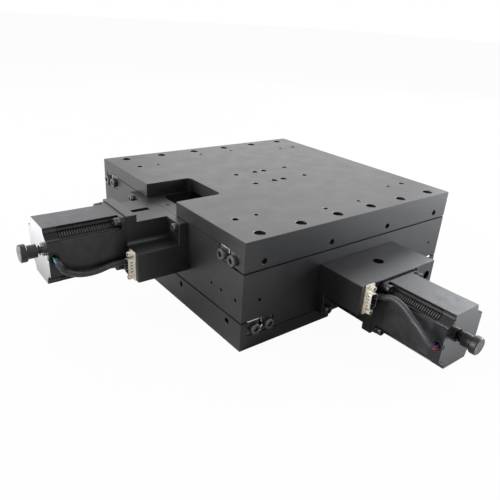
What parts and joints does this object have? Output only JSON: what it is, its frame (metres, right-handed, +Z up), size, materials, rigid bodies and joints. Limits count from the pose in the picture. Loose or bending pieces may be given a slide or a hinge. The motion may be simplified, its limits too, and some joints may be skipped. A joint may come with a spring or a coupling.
{
  "type": "motorized cross slide table",
  "caption": "Low square two-axis positioning table: two crossed slides on roller guides, each driven by a stepping motor with a rear hand knob through a ball screw.",
  "frame": {"origin": "centre of the base plate's underside", "axes": "+Z up; +X along the upper slide, away from its motor; +Y along the lower slide, away from its motor"},
  "size_m": [0.4512, 0.4512, 0.112],
  "materials": {
    "black_anodised": "bead-blasted and black anodised, satin",
    "ground_steel": "hardened and ground",
    "blackened_screws": "black oxide, slightly oily",
    "cage_brass": "stamped strip",
    "bare_aluminium": "turned",
    "spider_plastic": "moulded elastomer",
    "motor_black": "die-cast, semi-gloss black paint",
    "motor_laminations": "stacked laminations, black paint",
    "knob_black": "turned and black anodised",
    "plated_steel": "zinc plated, yellowish",
    "insert_plastic": "moulded, dark",
    "gold_contacts": "gold flash",
    "sensor_plastic": "moulded",
    "rubber_black": "moulded",
    "lead_sleeve": "woven black sleeve"
  },
  "bodies": {
    "base": {"base_plate": "black_anodised", "lower_outer_rail_left": "ground_steel", "lower_outer_rail_right": "ground_steel", "lower_outer_rail_bolts": "blackened_screws", "lower_outer_stop_screws": "blackened_screws", "lower_preload_screws": "blackened_screws", "lower_ball_nut": "ground_steel", "lower_nut_block": "black_anodised", "lower_nut_bolts": "blackened_screws"},
    "saddle": {"saddle": "black_anodised", "upper_inner_rail_front": "ground_steel", "upper_inner_rail_rear": "ground_steel", "lower_inner_rail_left": "ground_steel", "lower_inner_rail_right": "ground_steel", "inner_rail_bolts": "blackened_screws", "inner_stop_screws": "blackened_screws", "bearings": "ground_steel", "bracket_bolts": "blackened_screws", "motor_bolts": "blackened_screws", "motor_washers": "plated_steel", "connector_shells": "plated_steel", "connector_inserts": "insert_plastic", "connector_contacts": "gold_contacts", "connector_jackscrews": "plated_steel", "limit_sensors": "sensor_plastic", "lead_grommets": "rubber_black", "upper_motor_bracket": "black_anodised", "upper_motor_front_cap": "motor_black", "upper_motor_stator": "motor_laminations", "upper_motor_rear_cap": "motor_black", "upper_motor_lead": "lead_sleeve", "lower_motor_bracket": "black_anodised", "lower_motor_front_cap": "motor_black", "lower_motor_stator": "motor_laminations", "lower_motor_rear_cap": "motor_black", "lower_motor_lead": "lead_sleeve"},
    "top": {"top_plate": "black_anodised", "upper_outer_rail_front": "ground_steel", "upper_outer_rail_rear": "ground_steel", "upper_outer_rail_bolts": "blackened_screws", "upper_outer_stop_screws": "blackened_screws", "upper_preload_screws": "blackened_screws", "upper_ball_nut": "ground_steel", "upper_nut_block": "black_anodised", "upper_nut_bolts": "blackened_screws"},
    "upper_roller_set": {"upper_roller_cages": "cage_brass", "upper_rollers": "ground_steel"},
    "lower_roller_set": {"lower_roller_cages": "cage_brass", "lower_rollers": "ground_steel"},
    "upper_screw": {"upper_ball_screw": "ground_steel", "upper_coupling_hubs": "bare_aluminium", "upper_coupling_spider": "spider_plastic", "upper_motor_rotor": "ground_steel", "upper_knob": "knob_black"},
    "lower_screw": {"lower_ball_screw": "ground_steel", "lower_coupling_hubs": "bare_aluminium", "lower_coupling_spider": "spider_plastic", "lower_motor_rotor": "ground_steel", "lower_knob": "knob_black"}
  },
  "joints": [
    {"name": "saddle_slide", "type": "slide", "parent": "base", "child": "saddle", "axis": [0, 1, 0], "range_m": [-0.05, 0.05]},
    {"name": "top_slide", "type": "slide", "parent": "saddle", "child": "top", "axis": [1, 0, 0], "range_m": [-0.05, 0.05]},
    {"name": "lower_roller_slide", "type": "slide", "parent": "base", "child": "lower_roller_set", "axis": [0, 1, 0], "range_m": [-0.026, 0.026]},
    {"name": "upper_roller_slide", "type": "slide", "parent": "saddle", "child": "upper_roller_set", "axis": [1, 0, 0], "range_m": [-0.026, 0.026]},
    {"name": "lower_screw_turn", "type": "hinge", "parent": "saddle", "child": "lower_screw", "pos_m": [0, 0, 0.037], "axis": [0, 1, 0], "range_deg": [-4600, 4600]},
    {"name": "upper_screw_turn", "type": "hinge", "parent": "saddle", "child": "upper_screw", "pos_m": [0, 0, 0.075], "axis": [1, 0, 0], "range_deg": [-4600, 4600]}
  ],
  "couplings": [
    {"joint": "lower_roller_slide", "follows": "saddle_slide", "ratio": 0.5},
    {"joint": "upper_roller_slide", "follows": "top_slide", "ratio": 0.5},
    {"joint": "lower_screw_turn", "follows": "saddle_slide", "rad_per_m": 1570.8},
    {"joint": "upper_screw_turn", "follows": "top_slide", "rad_per_m": -1570.8}
  ]
}
